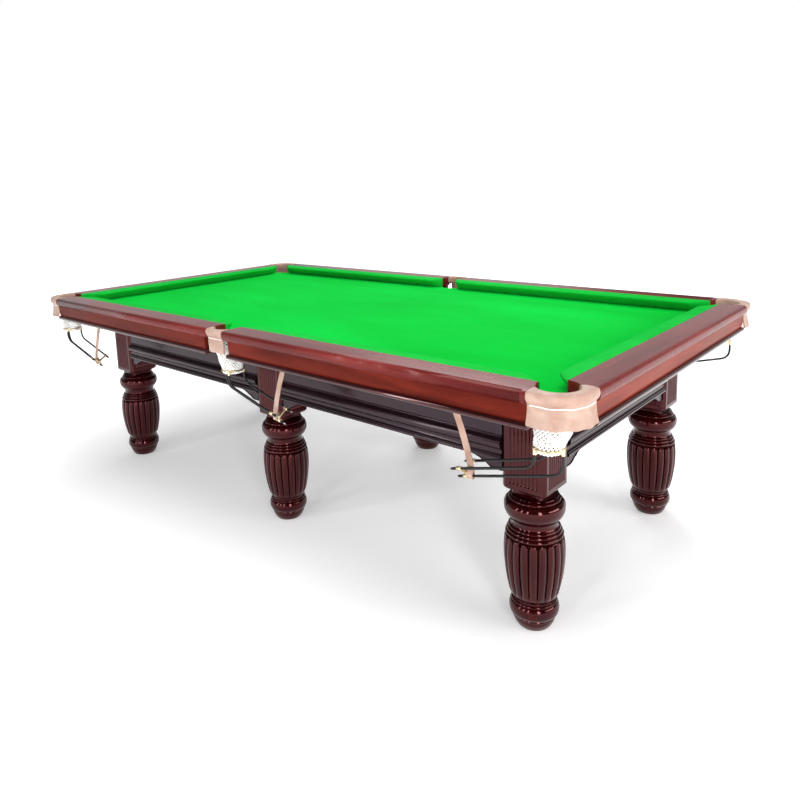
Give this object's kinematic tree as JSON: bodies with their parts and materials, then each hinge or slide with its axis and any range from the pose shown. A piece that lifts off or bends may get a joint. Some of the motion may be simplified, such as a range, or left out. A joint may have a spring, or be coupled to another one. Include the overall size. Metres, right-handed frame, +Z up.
{
  "type": "pool table",
  "caption": "Full-size pool table: slate bed with green cloth, net pockets with leather tops, outside ball runners and turned, reeded legs.",
  "frame": {"origin": "on the floor, under the middle of the table", "axes": "+X along the table's length, +Y across it, +Z up"},
  "size_m": [2.85, 1.58, 0.85],
  "materials": {
    "leg_wood": "dark cherry, high gloss lacquer",
    "apron_wood": "very dark cherry, gloss lacquer",
    "rail_wood": "mahogany, gloss lacquer",
    "bearer_wood": "bare softwood",
    "slate": "honed",
    "green_cloth": "napped wool cloth",
    "tan_leather": "natural tan hide, satin",
    "white_net": "knotted cotton cord",
    "black_sleeve": "black plastic sleeve over steel wire",
    "brass": "polished",
    "foot_steel": "zinc plated"
  },
  "bodies": {
    "table": {"rail_front_right": "rail_wood", "cushion_front_right": "green_cloth", "apron_front_right": "apron_wood", "rail_front_left": "rail_wood", "cushion_front_left": "green_cloth", "apron_front_left": "apron_wood", "rail_end_right": "rail_wood", "cushion_end_right": "green_cloth", "apron_end_right": "apron_wood", "leg_front_right": "leg_wood", "pocket_leather_front_right": "tan_leather", "leg_front_middle": "leg_wood", "pocket_leather_front_middle": "tan_leather", "leg_front_left": "leg_wood", "pocket_leather_front_left": "tan_leather", "rail_back_left": "rail_wood", "cushion_back_left": "green_cloth", "apron_back_left": "apron_wood", "rail_back_right": "rail_wood", "cushion_back_right": "green_cloth", "apron_back_right": "apron_wood", "rail_end_left": "rail_wood", "cushion_end_left": "green_cloth", "apron_end_left": "apron_wood", "leg_back_left": "leg_wood", "pocket_leather_back_left": "tan_leather", "leg_back_middle": "leg_wood", "pocket_leather_back_middle": "tan_leather", "leg_back_right": "leg_wood", "pocket_leather_back_right": "tan_leather", "slate_left": "slate", "slate_middle": "slate", "slate_right": "slate", "bed_cloth": "green_cloth", "cross_bearer_left": "bearer_wood", "cross_bearer_right": "bearer_wood"},
    "foot_front_right": {"levelling_foot_front_right": "foot_steel"},
    "runner_front_right": {"net_front_right": "white_net", "ball_runner_front_right": "black_sleeve", "runner_strap_front_right": "tan_leather"},
    "foot_front_middle": {"levelling_foot_front_middle": "foot_steel"},
    "runner_front_middle": {"net_front_middle": "white_net", "ball_runner_front_middle": "black_sleeve", "runner_strap_front_middle": "tan_leather"},
    "foot_front_left": {"levelling_foot_front_left": "foot_steel"},
    "runner_front_left": {"net_front_left": "white_net", "ball_runner_front_left": "black_sleeve", "runner_strap_front_left": "tan_leather"},
    "foot_back_left": {"levelling_foot_back_left": "foot_steel"},
    "runner_back_left": {"net_back_left": "white_net", "ball_runner_back_left": "black_sleeve", "runner_strap_back_left": "tan_leather"},
    "foot_back_middle": {"levelling_foot_back_middle": "foot_steel"},
    "runner_back_middle": {"net_back_middle": "white_net", "ball_runner_back_middle": "black_sleeve", "runner_strap_back_middle": "tan_leather"},
    "foot_back_right": {"levelling_foot_back_right": "foot_steel"},
    "runner_back_right": {"net_back_right": "white_net", "ball_runner_back_right": "black_sleeve", "runner_strap_back_right": "tan_leather"}
  },
  "joints": [
    {"name": "foot_screw_front_right", "type": "slide", "parent": "table", "child": "foot_front_right", "axis": [0, 0, -1], "range_m": [0, 0.015]},
    {"name": "runner_swing_front_right", "type": "hinge", "parent": "table", "child": "runner_front_right", "pos_m": [1.316, -0.713, 0.795], "axis": [-1, 0, 0], "range_deg": [-12, 22]},
    {"name": "foot_screw_front_middle", "type": "slide", "parent": "table", "child": "foot_front_middle", "axis": [0, 0, -1], "range_m": [0, 0.015]},
    {"name": "runner_swing_front_middle", "type": "hinge", "parent": "table", "child": "runner_front_middle", "pos_m": [0.016, -0.722, 0.795], "axis": [-1, 0, 0], "range_deg": [-12, 10]},
    {"name": "foot_screw_front_left", "type": "slide", "parent": "table", "child": "foot_front_left", "axis": [0, 0, -1], "range_m": [0, 0.015]},
    {"name": "runner_swing_front_left", "type": "hinge", "parent": "table", "child": "runner_front_left", "pos_m": [-1.316, -0.713, 0.795], "axis": [-1, 0, 0], "range_deg": [-12, 22]},
    {"name": "foot_screw_back_left", "type": "slide", "parent": "table", "child": "foot_back_left", "axis": [0, 0, -1], "range_m": [0, 0.015]},
    {"name": "runner_swing_back_left", "type": "hinge", "parent": "table", "child": "runner_back_left", "pos_m": [-1.316, 0.713, 0.795], "axis": [1, 0, 0], "range_deg": [-12, 22]},
    {"name": "foot_screw_back_middle", "type": "slide", "parent": "table", "child": "foot_back_middle", "axis": [0, 0, -1], "range_m": [0, 0.015]},
    {"name": "runner_swing_back_middle", "type": "hinge", "parent": "table", "child": "runner_back_middle", "pos_m": [-0.016, 0.722, 0.795], "axis": [1, 0, 0], "range_deg": [-12, 10]},
    {"name": "foot_screw_back_right", "type": "slide", "parent": "table", "child": "foot_back_right", "axis": [0, 0, -1], "range_m": [0, 0.015]},
    {"name": "runner_swing_back_right", "type": "hinge", "parent": "table", "child": "runner_back_right", "pos_m": [1.316, 0.713, 0.795], "axis": [1, 0, 0], "range_deg": [-12, 22]}
  ]
}
